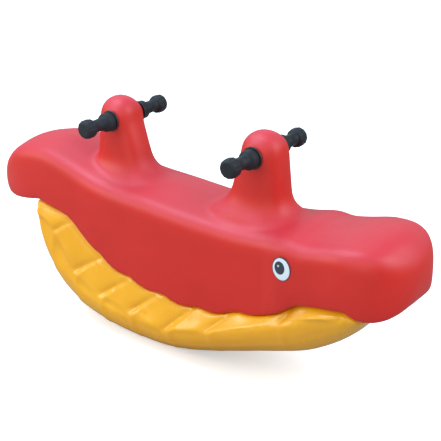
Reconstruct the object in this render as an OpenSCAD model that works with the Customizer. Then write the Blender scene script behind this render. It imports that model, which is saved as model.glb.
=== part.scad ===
// Whale seesaw rocker for two small children: a hollow red body with two handle posts,
// a hollow yellow fluted belly that rocks on the floor, and a turning handlebar in each post.
// X points to the nose, Y to the whale's left, Z up. The belly's flat rest land is at Z = 0.

/* [Overall] */
// Length from the tail tip to the nose tip
overall_l = 1096; // [996:10:1236]
// Height of the seat deck above the floor, midway between the posts
deck_h = 347; // [322:1:377]
// Height of the handlebar axes above the floor
bar_h = 478; // [450:1:530]

/* [Body] */
// Width of the seat deck
deck_w = 206; // [180:2:230]
// Width of the head
head_w = 226; // [200:2:250]
// Width of the tail
tail_w = 198; // [170:2:220]
// Radius of the deck's long edges
edge_r = 34; // [20:1:40]
// How far the tail rises above the deck
tail_rise = 56; // [10:1:60]
// How far the head rises above the deck
head_rise = 42; // [20:1:60]
// How far the brow behind the snout rises above the deck
brow_rise = 24; // [14:1:30]
// Wall thickness of the red body
body_wall = 5; // [3:0.5:7]

/* [Handle posts] */
// Distance between the two handlebar axes
post_spacing = 374; // [340:2:420]
// Length of the front post's top, fore and aft
front_post_l = 95; // [80:1:104]
// Length of the rear post's top, fore and aft
rear_post_l = 88; // [80:1:104]
// How far the rear post's middle lies behind its handlebar
rear_post_back = 8; // [0:1:12]
// Width of a post across its flat sides
post_w = 82; // [70:1:96]
// How far a post's dome stands above the handlebar axis
dome_h = 46; // [38:1:60]
// Widening of a post's inner side down to the deck
inner_slope = 36; // [10:1:50]
// Widening of a post's outer side down to the deck
outer_slope = 16; // [0:1:24]
// Radius of the fillet where a post meets the deck
post_fillet = 46; // [20:1:52]

/* [Belly] */
// Width across the belly's fluted rims
belly_w = 246; // [220:2:280]
// Height of the rims above the running surface
rim_h = 68; // [50:2:95]
// Width of the flat running strip under the belly
strip_w = 88; // [70:2:120]
// How far each flute of the rim stands out
flute_d = 9; // [3:0.5:10]
// Wall thickness of the yellow belly
belly_wall = 5; // [3:0.5:7]
// Gap between the belly and the body along their joint
joint_gap = 0.3; // [0.2:0.05:0.6]

/* [Handlebars] */
// Diameter of the steel handlebar tube
tube_d = 18; // [14:1:22]
// Wall thickness of the steel tube
tube_wall = 1.5; // [1:0.25:2]
// Overall width of a handlebar across its knobs
bar_w = 250; // [220:5:300]
// Diameter of the knobs and collars of the grips
knob_d = 40; // [34:1:46]
// Diameter of a grip between its knob and collar
grip_d = 26; // [24:1:30]
// Length of a knob
knob_l = 27; // [20:1:34]
// Length of a collar
collar_l = 19; // [12:1:24]
// Outer diameter of a bush
bush_d = 28; // [25:1:30]
// Diameter of a bush's flange
bush_flange_d = 46; // [44:1:52]
// Thickness of a bush's flange
bush_flange_t = 3; // [2:0.5:4]
// Radial running clearance between the tube and its bushes
run_gap = 0.06; // [0.02:0.01:0.1]

/* [Eyes] */
// Length of an eye disc
eye_l = 42; // [30:1:50]
// Height of an eye disc
eye_h = 49; // [36:1:56]
// How far an eye disc stands out of the head
eye_proud = 0.8; // [0.4:0.1:2]

/* [Fasteners] */
// Nominal diameter of the belly bolts
bolt_d = 8; // [6:1:10]
// Diameter of the pockets that take the bolt heads
pocket_d = 30; // [26:1:34]
// Length of the threaded inserts
insert_l = 22; // [16:1:26]

/* [Hidden] */
$fn = 64;

red = [0.82, 0.2, 0.17];
yellow = [0.95, 0.7, 0.15];
black = [0.13, 0.16, 0.18];

half_l = overall_l / 2;
post_x = post_spacing / 2;
base_h = deck_h - 12; // level from which the body's outlines are drawn
grow = overall_l / 1096; // the long outlines stretch with the length

// ---- smooth curve through [x, value] stations ----
function station(k, x, i = 0) = (i >= len(k) - 2 || x < k[i + 1][0]) ? i : station(k, x, i + 1);
function grade(k, i) =
    let (a = max(i - 1, 0), b = min(i + 1, len(k) - 1))
    (k[b][1] - k[a][1]) / (k[b][0] - k[a][0]);
function curve(k, x) =
    let (
        i = station(k, x),
        h = k[i + 1][0] - k[i][0],
        t = min(max((x - k[i][0]) / h, 0), 1)
    )
    (2 * t ^ 3 - 3 * t ^ 2 + 1) * k[i][1] + (t ^ 3 - 2 * t ^ 2 + t) * h * grade(k, i)
    + (3 * t ^ 2 - 2 * t ^ 3) * k[i + 1][1] + (t ^ 3 - t ^ 2) * h * grade(k, i + 1);
function stretch(k) = [for (p = k) [p[0] * grow, p[1]]];

// ---- outlines of the red body, seen from the side and from above ----
tail_mid_h = base_h - 38;
nose_mid_h = base_h - 14;
tail_round_l = 150;
nose_round_l = 120;

deck_line = stretch([
    [-600, base_h - 30], [-500, base_h + tail_rise - 40], [-445, base_h + tail_rise - 13],
    [-390, base_h + tail_rise], [-340, base_h + tail_rise + 1], [-290, base_h + tail_rise - 9],
    [-230, base_h + 30], [-160, base_h + 17], [-60, base_h + 13], [60, base_h + 8],
    [170, base_h + 7], [240, base_h + 13],
    [285, base_h + brow_rise - 4], [312, base_h + brow_rise], [338, base_h + brow_rise - 4],
    [384, base_h + head_rise - 12], [430, base_h + head_rise - 4], [480, base_h + head_rise],
    [600, base_h + head_rise],
]);
side_line = stretch([
    [-600, tail_w / 2], [-420, tail_w / 2], [-250, deck_w / 2 - 2], [0, deck_w / 2], [262, deck_w / 2],
    [296, head_w / 2 - 1], [400, head_w / 2], [600, head_w / 2],
]);

// the joint line between the body and the belly: lobes hang between these peaks
peaks = [for (p = [
    [-372, 68], [-272, 90], [-184, 150], [-96, 179], [-6, 189], [92, 188], [189, 165], [333, 105], [447, 78],
]) [p[0] * grow, base_h - p[1]]];
lobe_d = [2, 8, 9, 10, 12, 12, 19, 0];
tail_under = [for (p = [[-600, 86], [-520, 92], [-440, 82], [-372, 68]]) [p[0] * grow, base_h - p[1]]];
chin_under = [
    for (p = [[447, 78], [462, 87], [485, 92], [512, 92], [600, 90]]) [p[0] * grow, base_h - p[1]]
];
function lobe(x, i) =
    let (t = (x - peaks[i][0]) / (peaks[i + 1][0] - peaks[i][0]))
    lobe_d[i] * pow(max(sin(180 * t), 0), 0.7);
function joint_h(x) =
    x < peaks[0][0] ? curve(tail_under, x) :
    x > peaks[len(peaks) - 1][0] ? curve(chin_under, x) :
    curve(peaks, x) - lobe(x, station(peaks, x));

// rounding of the two ends: 0 at the tip, 1 where the full section starts
function ease(u, n) = u >= 1 ? 1 : pow(max(1 - pow(1 - max(u, 0), n), 0), 1 / n);
function end_ease(x, reach, tail_n, nose_n) = min(
    ease((x + half_l) / (tail_round_l * reach * grow), tail_n),
    ease((half_l - x) / (nose_round_l * reach * grow), nose_n)
);
chin_fullness = 2.8;
function mid_h(x) = x < 0 ? tail_mid_h : nose_mid_h;
function round_h(x, h, reach, nose_n) =
    abs(x) < half_l - tail_round_l * grow ? h : mid_h(x) + (h - mid_h(x)) * end_ease(x, reach, 2, nose_n);
function body_top(x) = round_h(x, curve(deck_line, x), 0.66, 2.2);
function body_under(x) = round_h(x, joint_h(x), x < 0 ? 0.66 : 0.52, chin_fullness);
function body_half(x) = curve(side_line, x) * end_ease(x, 1, 2.05, 2.3);

deck_crown = 10;
side_draft = 3;
under_r = 5;
corner_steps = 6;

// one section of the body, counter-clockwise seen from the nose, drawn in Y and Z
function half_section(w, zt, zb, r, inset) =
    let (
        hw = w - inset,
        top = zt - inset,
        bot = zb + inset,
        c = min(r, hw * 0.9, (top - bot) * 0.45),
        b = min(under_r, hw * 0.2, (top - bot) * 0.1),
        crown = deck_crown * min(1, hw / 100)
    )
    concat(
        [[(hw - c) * 0.5, top + crown * 0.75]],
        [for (i = [0:corner_steps])
            let (a = 90 - 90 * i / corner_steps) [hw - c + c * cos(a), top - c + c * sin(a)]],
        [[hw + side_draft * 0.6, (top - c) * 0.4 + (bot + b) * 0.6]],
        [for (i = [0:2]) let (a = -45 * i) [hw - b + b * cos(a), bot + b + b * sin(a)]],
        [[hw * 0.5, bot]]
    );
function section(x, inset) =
    let (
        w = body_half(x),
        h = half_section(w, body_top(x), body_under(x), edge_r, inset),
        crown = deck_crown * min(1, (w - inset) / 100),
        n = len(h)
    )
    concat(
        [[0, body_top(x) - inset + crown]],
        [for (i = [0:n - 1]) [-h[i][0], h[i][1]]],
        [[0, body_under(x) + inset]],
        [for (i = [n - 1:-1:0]) h[i]]
    );

module loft(rings) {
    n = len(rings[0]);
    m = len(rings);
    polyhedron(
        points = [for (r = rings) each r],
        faces = concat(
            [[for (j = [0:n - 1]) j]],
            [for (i = [0:m - 2]) for (j = [0:n - 1])
                each let (k = (j + 1) % n, a = i * n, b = a + n)
                [[a + j, b + j, b + k], [a + j, b + k, a + k]]],
            [[for (j = [n - 1:-1:0]) (m - 1) * n + j]]
        ),
        convexity = 8
    );
}

// ---- lines of the belly, by position t from its tail end (0) to its chin end (1) ----
// (heights are shares of the height of its two ends)
keel_line = [
    [-388, 1], [-382, 0.83], [-370, 0.62], [-347, 0.425], [-314, 0.262], [-270, 0.132], [-218, 0.054],
    [-160, 0.015], [-105, 0], [-50, 0], [5, 0.017], [60, 0.058], [115, 0.125], [172, 0.202],
    [232, 0.288], [292, 0.37], [348, 0.455], [402, 0.585], [447, 0.735], [474, 0.875],
];
end_h = base_h - 78;
joint_line = [
    -376, -371, -360, -335, -295, -248, -200, -150, -97, -55, 0, 52, 102, 158, 220, 278, 336, 394, 438, 468,
];
function by_t(k) = [for (i = [0:len(k) - 1]) [i / (len(k) - 1), k[i]]];
keel_x_by_t = by_t([for (p = keel_line) p[0] * grow]);
keel_z_by_t = by_t([for (p = keel_line) p[1] * end_h]);
joint_x_by_t = by_t([for (x = joint_line) x * grow]);
function keel_x(t) = curve(keel_x_by_t, t);
function keel_z(t) = max(curve(keel_z_by_t, t), 0);
function joint_x(t) = curve(joint_x_by_t, t);

// stations along the body: those of the joint line, and closer ones at the two rounded ends
joint_steps = 57;
end_steps = 11;
tip_trim = 1.2;
function end_station(from, to, i) =
    from + (to - from) * (0.35 * i / end_steps + 0.65 * sin(90 * i / end_steps));
body_stations = concat(
    [for (i = [0:end_steps - 1]) -end_station(-joint_x(0), half_l - tip_trim, end_steps - i)],
    [for (i = [0:joint_steps]) joint_x(i / joint_steps)],
    [for (i = [1:end_steps]) end_station(joint_x(1), half_l - tip_trim, i)]
);

module body_form(inset, skip) {
    squeeze = (half_l - tip_trim - inset) / (half_l - tip_trim);
    n = len(body_stations);
    used = [for (i = [0:n - 1]) if (i % skip == 0 || i == n - 1) body_stations[i]];
    loft([for (x = used) [for (p = section(x, inset)) [x * squeeze, p[0], p[1]]]]);
}

// ---- handle posts: side is 1 for the front post and -1 for the rear one ----
post_top = bar_h + dome_h;
post_steps = 28;
post_foot = 16;
function post_rise(z) = min(max((bar_h - z) / (bar_h - deck_h), 0), 1.2);
function dome(z) = z <= bar_h ? 1 : pow(max(1 - pow((z - bar_h) / dome_h, 2.2), 0.0025), 1 / 2.2);
function flare(z) =
    let (d = min(max(deck_h + 6 + post_fillet - z, 0), post_fillet * 0.96))
    post_fillet - sqrt(post_fillet ^ 2 - d ^ 2);
function post_ring(side, z, inset) =
    let (
        half = (side > 0 ? front_post_l : rear_post_l) / 2,
        back = side > 0 ? 0 : rear_post_back,
        outer = half + back + outer_slope * post_rise(z) + flare(z) * 1.1,
        inner = half - back + (inner_slope + back) * post_rise(z) + flare(z) * 1.1,
        hx = (outer + inner) / 2 * dome(z) - inset,
        hy = (post_w / 2 + 4 * post_rise(z) + flare(z) * 0.75) * dome(z) - inset,
        cx = side * (post_x + (outer - inner) / 2)
    )
    [for (i = [0:post_steps - 1])
        let (a = 360 * i / post_steps, c = cos(a), s = sin(a))
        [cx + hx * sign(c) * pow(abs(c), 0.78), hy * sign(s) * pow(abs(s), 0.78), z]];
function dome_levels(top, foot) = concat(
    [for (z = [foot, foot + 8]) z],
    [for (i = [0:5]) deck_h + 4 + post_fillet * i / 5],
    [for (i = [1:3]) deck_h + 4 + post_fillet + (bar_h - deck_h - 4 - post_fillet) * i / 3],
    [for (i = [1:7]) bar_h + (top - bar_h) * sin(90 * i / 7)]
);
module post_form(side, inset) {
    foot = deck_h - post_foot;
    levels = dome_levels(post_top, foot);
    loft([for (z = levels) [for (p = post_ring(side, z, inset)) [p[0], p[1], z > bar_h ? z - inset : z]]]);
}

// ---- flat pads on the posts where the bush flanges seat ----
pad_y = post_w / 2 + 1;
pad_r = bush_flange_d / 2 + 2;

// ---- belly ----
rim_steps = 5;
// the side above the rim: [share of the way down, share of the rim's width, share of the flutes' depth]
side_steps = [[0.25, 0.05, 0.35], [0.5, 0.18, 0.6], [0.72, 0.42, 0.8], [0.88, 0.74, 0.95]];
function belly_taper(t) = 1 - (t < 0.5 ? 0.19 : 0.06) * pow(abs(2 * t - 1), 3);
function rim_rise(t) = rim_h * (1 + 0.4 * max(t - 0.7, 0) / 0.3); // the rims climb towards the chin
function flute(x) =
    x <= peaks[0][0] || x >= peaks[len(peaks) - 1][0] ? 0 :
    let (i = station(peaks, x), t = (x - peaks[i][0]) / (peaks[i + 1][0] - peaks[i][0]))
    flute_d * pow(max(sin(180 * t), 0), 0.8);
// the creases between the flutes lean towards the tail on their way down to the rim
flute_lean = 68;
function lean(x) = flute_lean * grow * (1 - 0.75 * pow((x / grow + 20) / 360, 2));
// one section of the belly: it leans from the joint line to the keel
function belly_section(t, inset) =
    let (
        jx = joint_x(t),
        top = [jx, joint_h(jx) - joint_gap],
        low = [keel_x(t), keel_z(t)],
        len_full = norm(top - low),
        dir = (low - top) / len_full,
        a = top + dir * inset,
        b = low - dir * inset,
        drop = norm(b - a),
        taper = belly_taper(t),
        w_joint = (deck_w / 2 - 4) * (0.92 + 0.08 * taper) - inset,
        w_base = (belly_w / 2 - flute_d) * taper - inset,
        depth = inset > 0 ? 0 : 1, // the hollow inside is plain, so the wall is thickest in the flutes
        w_rim = w_base + depth * flute(jx + lean(jx)),
        w_strip = strip_w / 2 * taper - inset / 2,
        f_rim = max(1 - rim_rise(t) / drop, 0.16),
        half = concat(
            [[w_joint, 0]],
            [for (p = side_steps)
                [w_joint + (w_base - w_joint) * p[1] + depth * p[2] * flute(jx + lean(jx) * p[0]),
                 f_rim * p[0]]],
            [for (i = [0:rim_steps])
                let (g = 90 * i / rim_steps)
                [w_strip + (w_rim - w_strip) * pow(max(cos(g), 0), 0.85),
                 f_rim + (1 - f_rim) * pow(sin(g), 1.05)]]
        ),
        n = len(half)
    )
    [for (p = concat(
        [for (i = [0:n - 1]) [-half[i][0], half[i][1]]],
        [for (i = [n - 1:-1:0]) half[i]]
    )) [(a + dir * drop * p[1])[0], p[0], (a + dir * drop * p[1])[1]]];
module belly_form(inset, from, to, steps) {
    loft([for (i = [0:steps]) belly_section(from + (to - from) * i / steps, inset)]);
}
void_from = 0.09;
void_to = 0.93;

// ---- bolts that hold the belly to the body, along the middle ----
bolt_places = [-150, -52, 60, 165];
seat_t = 8;
insert_d = bolt_d + 6;
boss_d = insert_d + 14;
boss_cap = 4;
seat_gap = 0.1;
bolt_gap = 0.05;
washer_t = 1.6;
washer_d = pocket_d - 6;
head_h = bolt_d * 0.65;
head_d = bolt_d * 1.6;
column_d = pocket_d + 2 * belly_wall;
cap_t = 5;
cap_gap = 0.15;
function bolt_x(i) = bolt_places[i] * grow;
function joint_low(x) = min(joint_h(x - insert_d / 2), joint_h(x), joint_h(x + insert_d / 2));
function joint_high(x) = max(joint_h(x - insert_d / 2), joint_h(x), joint_h(x + insert_d / 2));
function pocket_top(i) =
    let (x = bolt_x(i)) min(joint_low(x), joint_h(x - pocket_d / 2), joint_h(x + pocket_d / 2)) - seat_t;
function insert_foot(i) = joint_high(bolt_x(i)) + 1;
function keel_at(x, t = 0.5, step = 0.25) =
    step < 0.0005 ? keel_z(t) : keel_at(x, keel_x(t) > x ? t - step : t + step, step / 2);
function cap_foot(i) = max(keel_at(bolt_x(i) - pocket_d / 2), keel_at(bolt_x(i) + pocket_d / 2)) + 4;

// ---- vent plugs ----
vent_d = 12;
vent_gap = 0.15;
plug_head_d = 20;
plug_head_t = 2.5;
plug_stem_l = 9;
tail_vent_x = -470 * grow;
belly_vent_x = 20 * grow;
tail_vent_h = joint_h(tail_vent_x) + 2;
belly_vent_h = keel_at(belly_vent_x) + 1.5;

// ---- grips and bushes: where they start, and what they hold ----
grip_foot = pad_y + bush_flange_t + 0.3;
grip_cap = 5;
grip_gap = 0.05;
bush_reach = body_wall + 12;

// ---- eyes ----
eye_x = 309 * grow;
eye_z = base_h - 31;
eye_deep = 4.5;
eye_back_gap = 0.2;

module rod(d, z, h) {
    translate([0, 0, z]) cylinder(h = h, d = d);
}

module body_solid() {
    resize([0, 0, 0]) difference() {
        union() {
            body_form(0, 1);
            for (side = [-1, 1]) {
                post_form(side, 0);
                translate([side * post_x, 0, bar_h]) rotate([90, 0, 0])
                    cylinder(h = 2 * pad_y, r1 = pad_r, r2 = pad_r, center = true, $fn = 48);
            }
        }
        difference() {
            union() {
                body_form(body_wall, 2);
                for (side = [-1, 1]) post_form(side, body_wall);
            }
            for (i = [0:len(bolt_places) - 1])
                translate([bolt_x(i), 0, 0])
                    cylinder(h = insert_foot(i) + insert_l + boss_cap, d = boss_d, $fn = 32);
        }
        translate([tail_vent_x, 0, 0]) cylinder(h = deck_h - 30, d = vent_d, $fn = 32);
    }
}

module body_shell() {
    color(red) difference() {
        body_solid();
        for (side = [-1, 1])
            translate([side * post_x, 0, bar_h]) rotate([90, 0, 0])
                cylinder(h = 2 * pad_y + 2, d = bush_d + 2 * seat_gap, center = true);
        for (i = [0:len(bolt_places) - 1])
            translate([bolt_x(i), 0, 0])
                rod(insert_d + 2 * seat_gap, 0, insert_foot(i) + insert_l + seat_gap);
        translate([tail_vent_x, 0, 0])
            rod(plug_head_d + 2 * vent_gap, 0, tail_vent_h + plug_head_t + vent_gap);
        for (side = [-1, 1]) eye_disc(side, vent_gap, eye_deep);
    }
}

module belly_solid() {
    resize([0, 0, 0]) difference() {
        belly_form(0, 0, 1, joint_steps);
        difference() {
            belly_form(belly_wall, void_from, void_to, 30);
            for (i = [0:len(bolt_places) - 1])
                translate([bolt_x(i), 0, 0]) cylinder(h = bar_h, d = column_d, $fn = 32);
            translate([belly_vent_x, 0, 0]) cylinder(h = plug_head_t + 5, d = plug_head_d + 8, $fn = 32);
        }
        translate([belly_vent_x, 0, -1]) cylinder(h = 20, d = vent_d, $fn = 32);
    }
}

module belly_shell() {
    color(yellow) difference() {
        belly_solid();
        for (i = [0:len(bolt_places) - 1]) translate([bolt_x(i), 0, 0]) {
            rod(pocket_d, -1, pocket_top(i) + 1);
            rod(bolt_d + 2, -1, bar_h);
        }
        translate([belly_vent_x, 0, 0])
            rod(plug_head_d + 2 * vent_gap, -1, belly_vent_h + plug_head_t + vent_gap + 1);
    }
}

// ---- handlebars, drawn along Y ----
module along_y(side) {
    translate([side * post_x, 0, bar_h]) rotate([-90, 0, 0]) children();
}

module handle_tube(side) {
    color([0.7, 0.71, 0.73]) along_y(side) difference() {
        cylinder(h = bar_w - 2 * grip_cap, d = tube_d, center = true);
        cylinder(h = bar_w, d = tube_d - 2 * tube_wall, center = true);
    }
}

// a moulded grip: collar, waist and rounded knob around a blind bore
module grip_profile() {
    foot = grip_foot;
    rim = bar_w / 2;
    edge = knob_d * 0.2;
    difference() {
        union() {
            translate([0, foot]) square([knob_d / 2 - 3, collar_l]);
            translate([0, foot + 3]) square([knob_d / 2, collar_l - 6]);
            for (y = [foot + 3, foot + collar_l - 3]) translate([knob_d / 2 - 3, y]) circle(3, $fn = 32);
            translate([0, foot]) square([grip_d / 2, rim - foot - 4]);
            translate([0, rim - knob_l]) square([knob_d / 2 - edge, knob_l]);
            translate([0, rim - knob_l + edge]) square([knob_d / 2, knob_l - 2 * edge]);
            for (y = [rim - knob_l + edge, rim - edge])
                translate([knob_d / 2 - edge, y]) circle(edge, $fn = 48);
        }
        translate([-knob_d, 0]) square([knob_d, bar_w]);
        translate([0, 0]) square([tube_d / 2 + grip_gap, rim - grip_cap + grip_gap]);
    }
}
module grip(side, hand) {
    color(black) translate([side * post_x, 0, bar_h]) rotate([-90 * hand, 0, 0])
        rotate_extrude() grip_profile();
}

// a flanged nylon bush that lines a post's hole and carries the tube
module bush(side, hand) {
    color([0.08, 0.09, 0.1]) translate([side * post_x, 0, bar_h]) rotate([-90 * hand, 0, 0]) difference() {
        union() {
            rod(bush_d, pad_y - bush_reach, bush_reach + bush_flange_t);
            rod(bush_flange_d, pad_y, bush_flange_t);
        }
        rod(tube_d + 2 * run_gap, 0, bar_w);
    }
}

// ---- eyes: shallow discs let into the sides of the head ----
module eye_disc(side, gap, depth) {
    y = body_half(eye_x) + side_draft * 0.6 + eye_proud;
    translate([eye_x, side * (y - depth / 2), eye_z]) rotate([90, 0, 0])
        resize([eye_l + 2 * gap, eye_h + 2 * gap, depth]) cylinder(h = 1, d = 1, center = true, $fn = 48);
}
module eye(side) {
    color([0.9, 0.95, 0.98]) eye_disc(side, 0, eye_deep - eye_back_gap);
}

// ---- fasteners ----
module body_inserts() {
    color([0.8, 0.65, 0.3]) for (i = [0:len(bolt_places) - 1]) translate([bolt_x(i), 0, 0]) difference() {
        rod(insert_d, insert_foot(i), insert_l);
        rod(bolt_d + 2 * bolt_gap, insert_foot(i) - 1, insert_l - 3);
    }
}
module belly_bolts() {
    color([0.75, 0.76, 0.78]) for (i = [0:len(bolt_places) - 1]) translate([bolt_x(i), 0, 0]) difference() {
        union() {
            rod(head_d, pocket_top(i) - washer_t - head_h, head_h);
            rod(bolt_d, pocket_top(i) - washer_t, insert_foot(i) + insert_l - 6 - pocket_top(i) + washer_t);
        }
        rod(bolt_d * 0.75, pocket_top(i) - washer_t - head_h - 1, head_h * 0.6 + 1, $fn = 6);
    }
}
module belly_washers() {
    color([0.7, 0.71, 0.73]) for (i = [0:len(bolt_places) - 1]) translate([bolt_x(i), 0, 0]) difference() {
        rod(washer_d, pocket_top(i) - washer_t, washer_t);
        rod(bolt_d + 2 * bolt_gap, 0, bar_h);
    }
}
module belly_bolt_caps() {
    color(yellow) for (i = [0:len(bolt_places) - 1]) translate([bolt_x(i), 0, 0]) difference() {
        rod(pocket_d - 2 * cap_gap, cap_foot(i), cap_t + 7);
        rod(pocket_d - 2 * cap_gap - 4, cap_foot(i) + 2.5, cap_t + 7);
    }
}
module vent_plug(foot) {
    rod(plug_head_d, foot, plug_head_t);
    rod(vent_d - 2 * vent_gap, foot, plug_head_t + plug_stem_l);
}
module body_vent_plug() {
    color(red) translate([tail_vent_x, 0, 0]) vent_plug(tail_vent_h);
}
module belly_vent_plug() {
    color(yellow) translate([belly_vent_x, 0, 0]) vent_plug(belly_vent_h);
}

body_shell();
belly_shell();
handle_tube(1);  // front_handle_tube
handle_tube(-1);  // rear_handle_tube
grip(1, -1);  // front_right_grip
grip(1, 1);  // front_left_grip
grip(-1, -1);  // rear_right_grip
grip(-1, 1);  // rear_left_grip
bush(1, -1);  // front_right_bush
bush(1, 1);  // front_left_bush
bush(-1, -1);  // rear_right_bush
bush(-1, 1);  // rear_left_bush
eye(-1);  // right_eye
eye(1);  // left_eye
body_inserts();
belly_bolts();
belly_washers();
belly_bolt_caps();
body_vent_plug();
belly_vent_plug();
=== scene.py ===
"""Looks of a whale seesaw rocker.

A smooth moulded body, a fluted belly, grips that turn with their bars, and printed eyes.
"""

import math

import bmesh
import bpy
from mathutils import Matrix, Vector


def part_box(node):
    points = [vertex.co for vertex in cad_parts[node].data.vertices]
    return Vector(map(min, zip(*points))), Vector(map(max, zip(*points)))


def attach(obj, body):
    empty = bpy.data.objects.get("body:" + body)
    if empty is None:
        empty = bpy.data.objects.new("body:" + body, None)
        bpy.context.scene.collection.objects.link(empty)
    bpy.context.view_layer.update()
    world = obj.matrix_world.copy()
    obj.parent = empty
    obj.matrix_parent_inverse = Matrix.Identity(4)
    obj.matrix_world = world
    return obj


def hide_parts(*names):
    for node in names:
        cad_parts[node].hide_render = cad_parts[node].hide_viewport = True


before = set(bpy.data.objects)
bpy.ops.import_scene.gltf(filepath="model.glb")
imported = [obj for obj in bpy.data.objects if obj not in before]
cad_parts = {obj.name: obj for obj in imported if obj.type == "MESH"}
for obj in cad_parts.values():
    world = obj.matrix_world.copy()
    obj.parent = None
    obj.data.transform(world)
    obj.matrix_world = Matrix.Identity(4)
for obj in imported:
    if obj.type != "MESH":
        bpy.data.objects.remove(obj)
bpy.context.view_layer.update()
MM = 0.001
WELD = 0.02 * MM  # corners of a CAD mesh closer than this are one corner


# ---- places taken from the frame ----
def middle(node):
    low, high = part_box(node)
    return (Vector(low) + Vector(high)) / 2


def extent(node):
    low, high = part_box(node)
    return Vector(high) - Vector(low)


ACROSS, UP = Vector((0, 1, 0)), Vector((0, 0, 1))
SIDES = {"right": -1, "left": 1}
ENDS = {"front": 1, "rear": -1}
BAR = {end: middle(f"{end}_handle_tube") for end in ENDS}
GRIP_FOOT, KNOB_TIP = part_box("front_left_grip")[0][1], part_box("front_left_grip")[1][1]
KNOB_R = extent("front_left_grip").x / 2
TUBE_R = extent("front_handle_tube").x / 2
BUSH_INNER_Y, BUSH_OUTER_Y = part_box("front_left_bush")[0][1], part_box("front_left_bush")[1][1]
FLANGE_R = extent("front_left_bush").x / 2
BUSH_R = 14 * MM


# ---- small mesh tools ----
def finish_piece(name, bm, body, materials, sharp=35):
    """Makes the bmesh a piece that rides on a body and takes its finish from a slot."""
    mesh = bpy.data.meshes.new(name)
    bm.to_mesh(mesh)
    bm.free()
    piece = bpy.data.objects.new(name, mesh)
    bpy.context.scene.collection.objects.link(piece)
    for m in materials:
        mesh.materials.append(m)
    mesh.shade_smooth()
    mesh.set_sharp_from_angle(angle=math.radians(sharp))
    if body:
        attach(piece, body)
    return piece


def solids(node):
    """Lowest and highest corner of each separate solid in a CAD node, from the tail to the nose."""
    bm = bmesh.new()
    bm.from_mesh(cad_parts[node].data)
    bmesh.ops.remove_doubles(bm, verts=bm.verts, dist=WELD)
    found = []
    while bm.faces:
        part = largest_part(bm)
        points = [v.co.copy() for f in part for v in f.verts]
        corners = [Vector([pick(p[i] for p in points) for i in range(3)]) for pick in (min, max)]
        found.append(corners)
        bmesh.ops.delete(bm, geom=list(part), context="FACES")
    bm.free()
    return sorted(found, key=lambda corners: corners[0].x)


def evaluated(bm, name, *modifiers):
    """The bmesh after the given modifiers, each a kind and its settings, as a new bmesh."""
    mesh = bpy.data.meshes.new(name)
    bm.to_mesh(mesh)
    bm.free()
    holder = bpy.data.objects.new(name, mesh)
    bpy.context.scene.collection.objects.link(holder)
    for kind, settings in modifiers:
        m = holder.modifiers.new(kind, kind)
        for key, value in settings.items():
            setattr(m, key, value)
    shape = holder.evaluated_get(bpy.context.evaluated_depsgraph_get())
    result = bmesh.new()
    result.from_mesh(shape.to_mesh())
    shape.to_mesh_clear()
    bpy.data.objects.remove(holder)
    bpy.data.meshes.remove(mesh)
    return result


def remeshed(bm, name, voxel):
    """The bmesh covered afresh with even quads, about a voxel wide."""
    return evaluated(bm, name, ("REMESH", {"mode": "VOXEL", "voxel_size": voxel, "adaptivity": 0.0}))


def off_axis(point, origin, along):
    """Distance of a point from the line through origin that runs along a unit direction."""
    reach = point - origin
    return (reach - along * reach.dot(along)).length


def largest_part(bm):
    """The faces of the connected part that has the longest box."""
    left, best, best_size = set(bm.faces), [], 0
    while left:
        part, todo = [], [left.pop()]
        while todo:
            face = todo.pop()
            part.append(face)
            for edge in face.edges:
                for other in edge.link_faces:
                    if other in left:
                        left.discard(other)
                        todo.append(other)
        xs = [v.co.x for f in part for v in f.verts]
        if max(xs) - min(xs) > best_size:
            best, best_size = part, max(xs) - min(xs)
    return set(best)


def outer_skin(node, bores):
    """A closed copy of a hollow moulding's outside. Each bore is a point, a direction and a radius."""
    bm = bmesh.new()
    bm.from_mesh(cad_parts[node].data)
    bmesh.ops.remove_doubles(bm, verts=bm.verts, dist=WELD)
    open_faces = [
        f for f in bm.faces
        if any(max(off_axis(v.co, p, d) for v in f.verts) < r for p, d, r in bores)
    ]
    bmesh.ops.delete(bm, geom=open_faces, context="FACES")
    skin = largest_part(bm)
    bmesh.ops.delete(bm, geom=[f for f in bm.faces if f not in skin], context="FACES")
    bmesh.ops.holes_fill(bm, edges=[e for e in bm.edges if e.is_boundary], sides=0)
    bmesh.ops.triangulate(bm, faces=bm.faces)
    return bm


def soften(bm, strength, rounds):
    """Smooths each vertex by its own strength, 0 to 1, for that many rounds."""
    weights = {v: strength(v.co) for v in bm.verts}
    for step in (0.25, 0.5, 0.75, 1.0):
        chosen = [v for v, w in weights.items() if w >= step]
        for _ in range(rounds // 4):
            bmesh.ops.smooth_vert(
                bm, verts=chosen, factor=0.5, use_axis_x=True, use_axis_y=True, use_axis_z=True
            )


def ramp(value, low, high):
    """0 below low, 1 above high, smooth between."""
    t = min(max((value - low) / (high - low), 0), 1)
    return t * t * (3 - 2 * t)


def add_rod(bm, start, along, radius, length, segments=48):
    """Adds a closed cylinder to the bmesh, from start along a unit direction."""
    turn = along.to_track_quat("Z", "Y").to_matrix().to_4x4()
    place = Matrix.Translation(start + along * length / 2) @ turn
    bmesh.ops.create_cone(
        bm, cap_ends=True, segments=segments, radius1=radius, radius2=radius, depth=length,
        matrix=place,
    )


def drilled(bm, rods):
    """The bmesh with round holes, each a start, a direction, a radius and a length."""
    tool = bmesh.new()
    for start, along, radius, length in rods:
        add_rod(tool, start, along, radius, length)
    mesh = bpy.data.meshes.new("drill")
    tool.to_mesh(mesh)
    tool.free()
    cutter = bpy.data.objects.new("drill", mesh)
    bpy.context.scene.collection.objects.link(cutter)
    bpy.context.view_layer.update()
    cut = ("BOOLEAN", {"operation": "DIFFERENCE", "object": cutter, "solver": "EXACT"})
    result = evaluated(bm, "drilled", cut)
    bpy.data.objects.remove(cutter)
    bpy.data.meshes.remove(mesh)
    return result


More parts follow.
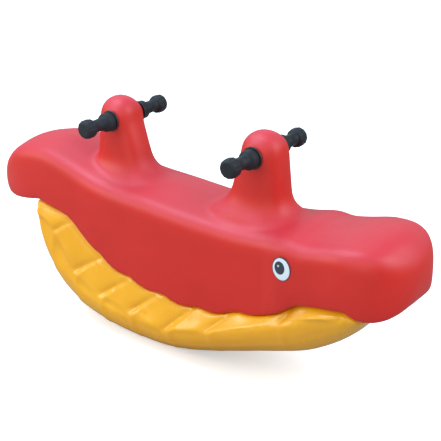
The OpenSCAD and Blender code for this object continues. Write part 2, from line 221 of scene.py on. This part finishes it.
def spun(profile, origin, along, steps):
    """A bmesh turned round a line from a profile of (distance along it, radius)."""
    bm = bmesh.new()
    side = along.orthogonal().normalized()
    verts = [bm.verts.new(origin + along * a + side * r) for a, r in profile]
    edges = [bm.edges.new((a, b)) for a, b in zip(verts, verts[1:])]
    bmesh.ops.spin(
        bm, geom=verts + edges, cent=origin, axis=along, angle=2 * math.pi, steps=steps, use_merge=True
    )
    bmesh.ops.remove_doubles(bm, verts=bm.verts, dist=0.005 * MM)
    bmesh.ops.recalc_face_normals(bm, faces=bm.faces)
    return bm


def arc(centre_a, centre_r, radius, start, end, steps):
    """Points of an arc in a turned profile, from start to end degrees, where 0 is outwards."""
    return [
        (centre_a + radius * math.sin(math.radians(start + (end - start) * i / steps)),
         centre_r + radius * math.cos(math.radians(start + (end - start) * i / steps)))
        for i in range(steps + 1)
    ]


# ---- shared shader effects ----
def new_group(name, inputs, outputs):
    """An empty node group with named sockets, and its input and output nodes."""
    group = bpy.data.node_groups.new(name, "ShaderNodeTree")
    for label, kind, value in inputs:
        socket = group.interface.new_socket(name=label, in_out="INPUT", socket_type=kind)
        if value is not None:
            socket.default_value = value
    for label, kind in outputs:
        group.interface.new_socket(name=label, in_out="OUTPUT", socket_type=kind)
    return group, group.nodes.new("NodeGroupInput"), group.nodes.new("NodeGroupOutput")


def texture(tree, kind, vector, scale, **settings):
    """A noise or other texture node on a vector."""
    node = tree.nodes.new(kind)
    for key, value in settings.items():
        if key in node.inputs:
            node.inputs[key].default_value = value
        else:
            setattr(node, key, value)
    tree.links.new(vector, node.inputs["Vector"])
    if hasattr(scale, "links"):
        tree.links.new(scale, node.inputs["Scale"])
    else:
        node.inputs["Scale"].default_value = scale
    return node


def spread(tree, value, low, high, to_low=0.0, to_high=1.0):
    """Maps a value from one range to another, smoothly and clamped."""
    node = tree.nodes.new("ShaderNodeMapRange")
    node.interpolation_type = "SMOOTHSTEP"
    for key, number in (("From Min", low), ("From Max", high), ("To Min", to_low), ("To Max", to_high)):
        node.inputs[key].default_value = number
    tree.links.new(value, node.inputs["Value"])
    return node.outputs["Result"]


def sum_of(tree, operation, a, b):
    """A Math node on two sockets or numbers."""
    node = tree.nodes.new("ShaderNodeMath")
    node.operation = operation
    for socket, value in zip(node.inputs, (a, b)):
        if isinstance(value, (int, float)):
            socket.default_value = value
        else:
            tree.links.new(value, socket)
    return node.outputs["Value"]


def build_moulded_skin():
    """The skin of a rotomoulded part: fine pebbling, slow waves, and soft mottling of its colour."""
    group, given, out = new_group(
        "moulded_skin",
        [("Vector", "NodeSocketVector", None), ("Pebble Scale", "NodeSocketFloat", 700.0)],
        [("Height", "NodeSocketFloat"), ("Mottle", "NodeSocketFloat")],
    )
    vector = given.outputs["Vector"]
    pebble = texture(group, "ShaderNodeTexNoise", vector, given.outputs["Pebble Scale"], Detail=2.0)
    wave = texture(group, "ShaderNodeTexNoise", vector, 14.0, Detail=1.0)
    broad = texture(group, "ShaderNodeTexNoise", vector, 6.0, Detail=3.0, Distortion=0.4)
    fine = sum_of(group, "MULTIPLY", pebble.outputs["Fac"], 0.3)
    slow = sum_of(group, "MULTIPLY", wave.outputs["Fac"], 1.2)
    group.links.new(sum_of(group, "ADD", fine, slow), out.inputs["Height"])
    group.links.new(spread(group, broad.outputs["Fac"], 0.3, 0.7), out.inputs["Mottle"])
    return group


def build_scuffs():
    """Fine scratches and dull rub marks, strongest where the given mask is 1."""
    group, given, out = new_group(
        "scuffs",
        [("Vector", "NodeSocketVector", None), ("Where", "NodeSocketFloat", 0.0)],
        [("Scuff", "NodeSocketFloat"), ("Rub", "NodeSocketFloat")],
    )
    stretch = group.nodes.new("ShaderNodeMapping")
    stretch.inputs["Scale"].default_value = (0.12, 1.0, 1.0)
    stretch.inputs["Rotation"].default_value = (0.0, 0.2, 0.3)
    group.links.new(given.outputs["Vector"], stretch.inputs["Vector"])
    lines = texture(group, "ShaderNodeTexNoise", stretch.outputs["Vector"], 420.0, Detail=4.0)
    patch = texture(group, "ShaderNodeTexNoise", given.outputs["Vector"], 22.0, Detail=3.0)
    thin = spread(group, lines.outputs["Fac"], 0.62, 0.7)
    patches = spread(group, patch.outputs["Fac"], 0.45, 0.62)
    marked = sum_of(group, "MULTIPLY", thin, patches)
    group.links.new(sum_of(group, "MULTIPLY", marked, given.outputs["Where"]), out.inputs["Scuff"])
    group.links.new(sum_of(group, "MULTIPLY", patches, given.outputs["Where"]), out.inputs["Rub"])
    return group


MOULDED_SKIN = build_moulded_skin()
SCUFFS = build_scuffs()


class Finish:
    """A node-based material: its tree, its shader and its Object coordinates."""

    def __init__(self, name, roughness, **sockets):
        self.material = bpy.data.materials.new(name)
        self.material.use_nodes = True
        self.tree = self.material.node_tree
        self.shader = self.tree.nodes["Principled BSDF"]
        self.shader.inputs["Roughness"].default_value = roughness
        for key, value in sockets.items():
            self.shader.inputs[key.replace("_", " ")].default_value = value
        self.place = self.tree.nodes.new("ShaderNodeTexCoord").outputs["Object"]
        axes = self.tree.nodes.new("ShaderNodeSeparateXYZ")
        self.tree.links.new(self.place, axes.inputs["Vector"])
        self.x, self.y, self.z = axes.outputs

    def effect(self, group, **values):
        node = self.tree.nodes.new("ShaderNodeGroup")
        node.node_tree = group
        self.tree.links.new(self.place, node.inputs["Vector"])
        for key, value in values.items():
            socket = node.inputs[key.replace("_", " ")]
            if isinstance(value, float):
                socket.default_value = value
            else:
                self.tree.links.new(value, socket)
        return node

    def blend_colour(self, mask, a, b):
        """Colour a where the mask is 0 and b where it is 1."""
        node = self.tree.nodes.new("ShaderNodeMix")
        node.data_type = "RGBA"
        self.tree.links.new(mask, node.inputs["Factor"])
        for socket, value in ((node.inputs[6], a), (node.inputs[7], b)):
            if isinstance(value, tuple):
                socket.default_value = (*value, 1.0)
            else:
                self.tree.links.new(value, socket)
        return node.outputs[2]

    def colour(self, socket):
        self.tree.links.new(socket, self.shader.inputs["Base Color"])

    def rough(self, socket):
        self.tree.links.new(socket, self.shader.inputs["Roughness"])

    def bump(self, height, strength, distance):
        node = self.tree.nodes.new("ShaderNodeBump")
        node.inputs["Strength"].default_value = strength
        node.inputs["Distance"].default_value = distance
        self.tree.links.new(height, node.inputs["Height"])
        self.tree.links.new(node.outputs["Normal"], self.shader.inputs["Normal"])


def moulded_plastic(name, light, deep, scuffed, roughness, worn_below=0.0, painted_top_sheen=None):
    """Rotomoulded polyethylene, scuffed pale near the floor, with a painted sheen: surfaces that face up
    are tinted pinker, standing in for a bluish reflection of the light above.
    """
    finish = Finish(name, roughness, IOR=1.5)
    skin = finish.effect(MOULDED_SKIN, Pebble_Scale=900.0)
    if worn_below:
        worn = spread(finish.tree, finish.z, 0.0, worn_below, 1.0, 0.12)
    else:
        worn = spread(finish.tree, finish.z, 0.28, 0.4, 0.05, 0.3)
    marks = finish.effect(SCUFFS, Where=worn)
    base = finish.blend_colour(skin.outputs["Mottle"], light, deep)
    if painted_top_sheen:
        # Painted sheen: the colour turns pinker as the surface faces up, standing in for the bluish
        # reflection of the overhead light.
        axes = finish.tree.nodes.new("ShaderNodeSeparateXYZ")
        facing = finish.tree.nodes.new("ShaderNodeNewGeometry").outputs["Normal"]
        finish.tree.links.new(facing, axes.inputs["Vector"])
        base = finish.blend_colour(spread(finish.tree, axes.outputs["Z"], 0.2, 0.8), base, painted_top_sheen)
    finish.colour(finish.blend_colour(marks.outputs["Scuff"], base, scuffed))
    rub = sum_of(finish.tree, "MULTIPLY", marks.outputs["Rub"], 0.12)
    dull = spread(finish.tree, skin.outputs["Mottle"], 0.0, 1.0, roughness - 0.03, roughness + 0.03)
    finish.rough(sum_of(finish.tree, "ADD", dull, rub))
    finish.bump(skin.outputs["Height"], 0.35, 0.4 * MM)
    return finish.material


# The red has a painted pink sheen on its up-facing surfaces, which stands in for reflected light.
RED = moulded_plastic(
    "red_plastic", (0.58, 0.013, 0.006), (0.53, 0.010, 0.004), (0.70, 0.12, 0.10), 0.48,
    painted_top_sheen=(0.55, 0.027, 0.042),
)
YELLOW = moulded_plastic(
    "yellow_plastic", (0.82, 0.405, 0.011), (0.78, 0.365, 0.009), (0.88, 0.58, 0.22), 0.27,
    worn_below=0.05,
)


def plain_finish(name, colour, other, roughness, grain_scale, grain_depth, metallic=0.0, shine=0.5):
    """A material with a fine grain, a little variation of colour, and uneven gloss."""
    finish = Finish(name, roughness, Metallic=metallic, Specular_IOR_Level=shine)
    skin = finish.effect(MOULDED_SKIN, Pebble_Scale=grain_scale)
    marks = finish.effect(SCUFFS, Where=0.5)
    finish.colour(finish.blend_colour(skin.outputs["Mottle"], colour, other))
    gloss = spread(finish.tree, skin.outputs["Mottle"], 0.0, 1.0, roughness - 0.06, roughness + 0.06)
    scratched = sum_of(finish.tree, "MULTIPLY", marks.outputs["Scuff"], 0.15)
    finish.rough(sum_of(finish.tree, "ADD", gloss, scratched))
    finish.bump(skin.outputs["Height"], 0.5, grain_depth)
    return finish.material


RUBBER = plain_finish(
    "grip_rubber", (0.008, 0.012, 0.017), (0.013, 0.018, 0.024), 0.56, 1500.0, 0.25 * MM, 0.0, 0.3
)
NYLON = plain_finish(
    "black_nylon", (0.010, 0.012, 0.015), (0.014, 0.016, 0.020), 0.38, 1200.0, 0.1 * MM
)
STEEL = plain_finish(
    "steel", (0.56, 0.57, 0.59), (0.48, 0.49, 0.52), 0.30, 1100.0, 0.05 * MM, 1.0
)
BRASS = plain_finish(
    "brass_insert", (0.60, 0.42, 0.15), (0.52, 0.35, 0.12), 0.34, 1400.0, 0.12 * MM, 1.0
)
EYE_WHITE = plain_finish(
    "eye_plastic", (0.72, 0.83, 0.90), (0.66, 0.79, 0.88), 0.26, 900.0, 0.05 * MM
)
EYE_INK = plain_finish(
    "eye_ink", (0.020, 0.032, 0.052), (0.026, 0.040, 0.062), 0.24, 900.0, 0.05 * MM
)
EYE_GLINT = plain_finish(
    "eye_glint", (0.62, 0.68, 0.80), (0.58, 0.64, 0.78), 0.26, 900.0, 0.05 * MM
)


# ---- red body and yellow belly ----
BODY_VOXEL, BELLY_VOXEL = 3.6 * MM, 2.95 * MM
# Radii that just take in each bore of the mouldings, and the recess of a vent plug's head.
BAR_BORE, EYE_POCKET, INSERT_BORE, VENT_BORE, BOLT_BORE = 15 * MM, 26 * MM, 8 * MM, 10.6 * MM, 15.4 * MM
BOLT_POCKET, VENT_RECESS, VENT_DEPTH, VENT_HEAD = 15 * MM, 10.15 * MM, 20 * MM, 2.7 * MM
SNOUT_SWELL = 4 * MM


def recess(plug):
    """The round recess from below that a vent plug's head sits in, as a drill."""
    start = Vector((middle(plug).x, 0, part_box(plug)[0][2] - VENT_DEPTH))
    return start, UP, VENT_RECESS, VENT_DEPTH + VENT_HEAD


def swell_snout(bm):
    """Rounds the snout out a little ahead of the eyes."""
    core = Vector((0, 0, 0.27))
    for v in bm.verts:
        swell = SNOUT_SWELL * ramp(v.co.x, 0.375, 0.435) * (1 - ramp(v.co.x, 0.50, 0.545))
        out = Vector((0, v.co.y, v.co.z)) - core
        v.co += out.normalized() * swell


def make_body():
    bores = [(BAR[end], ACROSS, BAR_BORE) for end in ENDS]
    bores += [(middle(f"{side}_eye"), ACROSS, EYE_POCKET) for side in SIDES]
    bores += [((low + high) / 2, UP, INSERT_BORE) for low, high in solids("body_inserts")]
    bores.append((middle("body_vent_plug"), UP, VENT_BORE))
    skin = outer_skin("body_shell", bores)
    skin = remeshed(skin, "body", BODY_VOXEL)
    soften(skin, lambda p: 0.25 + 0.75 * max(ramp(p.z, 0.265, 0.30), ramp(p.x, 0.46, 0.50)), 28)
    swell_snout(skin)
    rods = [(BAR[end] - ACROSS * 0.1, ACROSS, BUSH_R + 0.1 * MM, 0.2) for end in ENDS]
    rods.append(recess("body_vent_plug"))
    skin = drilled(skin, rods)
    piece = finish_piece("red_body_moulding", skin, "rocker", [RED])
    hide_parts("body_shell")


# Each crease between two flutes of the belly's side, as its top and its foot at the rim, in mm
# along X and Z, with the belly's two ends.
CREASES = [
    (-372, 262, -384, 240), (-278, 236, -322, 206), (-188, 172, -258, 126),
    (-92, 156, -178, 90), (-8, 146, -88, 80), (84, 142, 10, 68),
    (186, 166, 124, 104), (331, 228, 306, 186), (447, 255, 440, 235),
]
FLUTE_TOPS = [-372, -272, -184, -96, -6, 92, 189, 333, 447]
FLUTE_DEPTH, STRIP_HALF, RIM_BASE = 9 * MM, 44 * MM, 114 * MM
LEAN, LEAN_MIDDLE, LEAN_REACH, LEAN_LOSS = 68, -20, 360, 0.75  # how the CAD flutes lean, in mm
CREASE_DEPTH, CREASE_WIDTH, PILLOW = 2.6 * MM, 6 * MM, 10.5 * MM
RIM_FILL, TUCK = 6 * MM, 4 * MM


def cad_flute(x, down):
    """How far the CAD belly's flutes stand out at a place along it and a share of the way to its rim."""
    x = x / MM
    joint = x - (31 * min(max((x + 200) / 300, 0), 1) - 18) * 0.65 * down
    lean = 1 - LEAN_LOSS * ((joint - LEAN_MIDDLE) / LEAN_REACH) ** 2
    phase = joint + LEAN * lean * down
    for low, high in zip(FLUTE_TOPS, FLUTE_TOPS[1:]):
        if low < phase < high:
            return FLUTE_DEPTH * math.sin(math.pi * (phase - low) / (high - low)) ** 0.8
    return 0


def along_crease(crease, x, z):
    """How far a point is from a crease, positive on the tail's side, and its share of the way down."""
    top = Vector(crease[:2]) * MM
    run = Vector(crease[2:]) * MM - top
    reach = Vector((x, z)) - top
    return reach.cross(run) / run.length, reach.dot(run) / run.dot(run)


def shape_flutes(bm):
    """Turns the flutes of the belly's two sides into soft pillows that end above a smooth rim."""
    for v in bm.verts:
        out = abs(v.co.y)
        if out < 50 * MM:
            continue
        places = [along_crease(crease, v.co.x, v.co.z) for crease in CREASES]
        for (near, share), (far, far_share) in zip(places, places[1:]):
            if near <= 0 < far:
                break
        else:
            continue
        across = near / (near - far)
        down = share + (far_share - share) * across
        level = min(max(down, 0), 1)
        flute = cad_flute(v.co.x, level)
        part = min(level ** 0.75, (out - STRIP_HALF) / (RIM_BASE + flute - STRIP_HALF))
        hump = math.sin(math.pi * across) ** 0.5
        hump *= (0.25 + 0.75 * ramp(down, 0.05, 0.85)) * (1 - ramp(down, 0.86, 1.12))
        groove = max(math.exp(-abs(away / CREASE_WIDTH) ** 1.5) for away in (near, far))
        out += (RIM_FILL * ramp(down, 0.84, 1.1) - flute) * part + PILLOW * hump * min(1, level * 3)
        out -= CREASE_DEPTH * groove * (1 - ramp(down, 0.8, 1.05)) + TUCK * (1 - ramp(down, 0.0, 0.13))
        v.co.y = math.copysign(out, v.co.y)


def make_belly():
    bolts, washers, below = solids("belly_bolts"), solids("belly_washers"), 50 * MM
    bores = [((low + high) / 2, UP, BOLT_BORE) for low, high in bolts]
    bores.append((middle("belly_vent_plug"), UP, VENT_BORE))
    skin = outer_skin("belly_shell", bores)
    skin = remeshed(skin, "belly", BELLY_VOXEL)
    soften(skin, lambda p: 1.0, 12)
    shape_flutes(skin)
    soften(skin, lambda p: 1.0, 4)
    rods = [
        (Vector(((low.x + high.x) / 2, 0, -below)), UP, BOLT_POCKET, high.z + below)
        for low, high in washers
    ]
    rods.append(recess("belly_vent_plug"))
    skin = drilled(skin, rods)
    piece = finish_piece("yellow_belly_moulding", skin, "rocker", [YELLOW])
    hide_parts("belly_shell")


# ---- handlebars ----
def grip_profile():
    """A grip round its blind bore, collar, ribbed waist and knob, as (distance, radius)."""
    bore, waist = TUBE_R + 0.05 * MM, 13 * MM
    collar_end, knob_start = GRIP_FOOT + 19 * MM, KNOB_TIP - 27 * MM
    corner, shoulder = 2.5 * MM, 8 * MM
    profile = [(KNOB_TIP - 5 * MM, 0), (KNOB_TIP - 5 * MM, bore), (GRIP_FOOT, bore)]
    profile += arc(GRIP_FOOT + corner, KNOB_R - corner, corner, -90, 0, 6)
    profile += arc(collar_end - 2 * corner, KNOB_R - 2 * corner, 2 * corner, 0, 70, 6)
    profile += [(collar_end + 1.6 * MM, waist + 0.5 * MM)]
    for i in range(3):
        rib = collar_end + (4.5 + 3.6 * i) * MM
        profile += [(rib - 1.2 * MM, waist), (rib - 0.5 * MM, waist + 0.7 * MM)]
        profile += [(rib + 0.5 * MM, waist + 0.7 * MM), (rib + 1.2 * MM, waist)]
    profile += [(knob_start - 1.0 * MM, waist + 0.3 * MM)]
    profile += arc(knob_start + shoulder, KNOB_R - shoulder, shoulder, -72, 0, 8)
    profile += arc(KNOB_TIP - shoulder, KNOB_R - shoulder, shoulder, 0, 78, 9)
    profile += [(KNOB_TIP - 0.15 * MM, KNOB_R - 9 * MM), (KNOB_TIP - 0.05 * MM, 5 * MM), (KNOB_TIP, 0)]
    return profile


LOBES, LOBE_DEPTH, LOBE_HALF = 12, 0.055, 13 * MM
KNOB_MIDDLE = KNOB_TIP - 13.5 * MM


def make_grip(end, side):
    along = ACROSS * SIDES[side]
    origin = Vector((BAR[end].x, 0, BAR[end].z))
    bm = spun(grip_profile(), origin, along, 72)
    for v in bm.verts:
        out = v.co - origin
        reach = out.dot(along)
        off = out - along * reach
        belt = 1 - min(abs(reach - KNOB_MIDDLE) / LOBE_HALF, 1) ** 2
        if off.length > 14 * MM and belt > 0:
            lobe = 0.5 - 0.5 * math.cos(LOBES * math.atan2(off.z, off.x))
            v.co -= off * (LOBE_DEPTH * lobe * belt)
    piece = finish_piece(
        f"{end}_{side}_knob_grip", bm, f"{end}_handlebar", [RUBBER], 50
    )
    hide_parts(f"{end}_{side}_grip")


def make_bush(end, side):
    inner, thick, edge = TUBE_R + 0.06 * MM, 3 * MM, 1.0 * MM
    face = BUSH_OUTER_Y - thick
    profile = [(BUSH_OUTER_Y, inner + 0.6 * MM), (BUSH_OUTER_Y - 0.6 * MM, inner)]
    profile += [(BUSH_INNER_Y, inner)]
    profile += [(BUSH_INNER_Y, BUSH_R - 0.8 * MM), (BUSH_INNER_Y + 0.8 * MM, BUSH_R)]
    profile += [(face, BUSH_R)]
    profile += [(face, FLANGE_R - 0.3 * MM), (face + 0.3 * MM, FLANGE_R)]
    profile += arc(BUSH_OUTER_Y - edge, FLANGE_R - edge, edge, 0, 90, 6)
    profile += [(BUSH_OUTER_Y, inner + 0.6 * MM)]
    bm = spun(profile, Vector((BAR[end].x, 0, BAR[end].z)), ACROSS * SIDES[side], 64)
    piece = finish_piece(f"{end}_{side}_flanged_bush", bm, "rocker", [NYLON])
    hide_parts(f"{end}_{side}_bush")


# ---- eyes ----
# The dome of an eye's disc, as shares of its width and of its height.
EYE_STEPS = [
    (1.0, 0.0), (1.0, 0.55), (0.985, 0.75), (0.95, 0.85), (0.8, 0.92), (0.5, 0.98), (0.2, 1.0)
]


def add_oval(bm, centre, out, half_l, half_h, foot, top, finish):
    """A domed oval disc that faces sideways, between two distances from the eye's middle."""
    turn = out.to_track_quat("Z", "X").to_matrix().to_4x4()
    made = bmesh.ops.create_circle(bm, cap_ends=True, segments=56, radius=1.0, matrix=turn)
    rim = made["verts"]
    for v in rim:
        v.co = Vector((v.co.x * half_l, 0, v.co.z * half_h)) + centre + out * foot
    face = next(f for f in rim[0].link_faces)
    face.material_index = finish
    for (share, height), (next_share, next_height) in zip(EYE_STEPS, EYE_STEPS[1:]):
        made = bmesh.ops.extrude_discrete_faces(bm, faces=[face])
        face = made["faces"][0]
        for v in face.verts:
            place = v.co - centre - out * v.co.dot(out) + out * centre.dot(out)
            flat = Vector((place.x, 0, place.z)) * (next_share / share)
            v.co = centre + flat + out * (foot + (top - foot) * next_height)


def make_eye(side):
    out = ACROSS * SIDES[side]
    size = extent(f"{side}_eye")
    face = middle(f"{side}_eye") + out * (size.y / 2 - 0.2 * MM)
    back = -size.y * 0.7
    bm = bmesh.new()
    pupil = face + Vector((-3.4 * MM, 0, 2.1 * MM))
    glint = face + Vector((-6.4 * MM, 0, 5.6 * MM))
    add_oval(bm, face, out, size.x / 2, size.z / 2, back, 0.1 * MM, 1)
    add_oval(bm, face, out, size.x / 2 - 1.9 * MM, size.z / 2 - 1.9 * MM, -0.8 * MM, 0.35 * MM, 0)
    add_oval(bm, pupil, out, 11.6 * MM, 13.8 * MM, -0.3 * MM, 0.5 * MM, 1)
    add_oval(bm, glint, out, 2.1 * MM, 2.5 * MM, 0.1 * MM, 0.62 * MM, 2)
    bmesh.ops.recalc_face_normals(bm, faces=bm.faces)
    materials = [EYE_WHITE, EYE_INK, EYE_GLINT]
    piece = finish_piece(f"{side}_printed_eye", bm, "rocker", materials, 50)
    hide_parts(f"{side}_eye")


# ---- finishes of the pieces that keep their CAD shape ----
KEPT = {
    "front_handle_tube": STEEL, "rear_handle_tube": STEEL, "body_inserts": BRASS, "belly_bolts": STEEL,
    "belly_washers": STEEL, "belly_bolt_caps": YELLOW, "body_vent_plug": RED, "belly_vent_plug": YELLOW,
}
for node, material in KEPT.items():
    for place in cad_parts[node].material_slots:
        place.material = material

make_body()
make_belly()
for end in ENDS:
    for side in SIDES:
        make_grip(end, side)
        make_bush(end, side)
for side in SIDES:
    make_eye(side)


# ---- floor, light and camera ----
def make_stage():
    finish = Finish("pale_floor", 0.9)
    grain = texture(finish.tree, "ShaderNodeTexNoise", finish.place, 3.0, Detail=2.0)
    pale = finish.blend_colour(grain.outputs["Fac"], (0.91, 0.92, 0.93), (0.93, 0.94, 0.95))
    seen = finish.tree.nodes.new("ShaderNodeLightPath").outputs["Is Camera Ray"]
    finish.colour(finish.blend_colour(seen, (0.34, 0.34, 0.34), pale))
    finish.shader.inputs["Emission Color"].default_value = (0.96, 0.98, 1.0, 1.0)
    glow = sum_of(finish.tree, "MULTIPLY", seen, 0.42)
    finish.tree.links.new(glow, finish.shader.inputs["Emission Strength"])
    bm = bmesh.new()
    bmesh.ops.create_grid(bm, x_segments=1, y_segments=1, size=12)
    floor = finish_piece("floor", bm, None, [finish.material])
    world = bpy.data.worlds.new("studio")
    world.use_nodes = True
    world.node_tree.nodes["Background"].inputs["Color"].default_value = (0.93, 0.96, 1.0, 1.0)
    world.node_tree.nodes["Background"].inputs["Strength"].default_value = 0.62
    bpy.context.scene.world = world


def direction(azimuth, elevation):
    """The unit vector towards an azimuth, 0 at -Y and 90 at +X, and an elevation, in degrees."""
    a, e = math.radians(azimuth), math.radians(elevation)
    return Vector((math.sin(a) * math.cos(e), -math.cos(a) * math.cos(e), math.sin(e)))


def area_light(name, target, azimuth, elevation, distance, size, power, colour):
    """A square soft light that looks at a point."""
    back = direction(azimuth, elevation)
    light = bpy.data.lights.new(name, "AREA")
    light.size, light.energy, light.color = size, power, colour
    holder = bpy.data.objects.new(name, light)
    bpy.context.scene.collection.objects.link(holder)
    holder.location = target + back * distance
    holder.rotation_euler = back.to_track_quat("Z", "Y").to_euler()


def make_camera(aim, azimuth, elevation, distance, lens):
    back = direction(azimuth, elevation)
    camera = bpy.data.cameras.new("camera")
    camera.lens, camera.sensor_width = lens, 36
    holder = bpy.data.objects.new("camera", camera)
    bpy.context.scene.collection.objects.link(holder)
    holder.location = aim + back * distance
    holder.rotation_euler = back.to_track_quat("Z", "Y").to_euler()
    bpy.context.scene.camera = holder


make_stage()
CENTRE = Vector((0, 0, 0.28))
# Each light's azimuth, elevation, distance, size, power and colour.
LIGHTS = {
    "overhead": (-72, 64, 2.2, 1.3, 38, (0.56, 0.76, 1.0)),
    "nose_side": (100, 35, 2.6, 1.8, 40, (0.90, 0.95, 1.0)),
    "rim_light": (-50, 20, 2.4, 1.0, 19, (1.0, 0.98, 0.90)),
    "front_fill": (12, 22, 3.2, 3.2, 38, (1.0, 0.95, 0.88)),
    "back_sheen": (-142, 38, 2.6, 2.2, 7, (0.70, 0.83, 1.0)),
}
for name, settings in LIGHTS.items():
    area_light(name, CENTRE, *settings)
make_camera(
    Vector((0.0828, -0.0084, 0.3065)), azimuth=37.7, elevation=23.8, distance=2.13, lens=83.7
)
bpy.context.scene.view_settings.view_transform = "Standard"
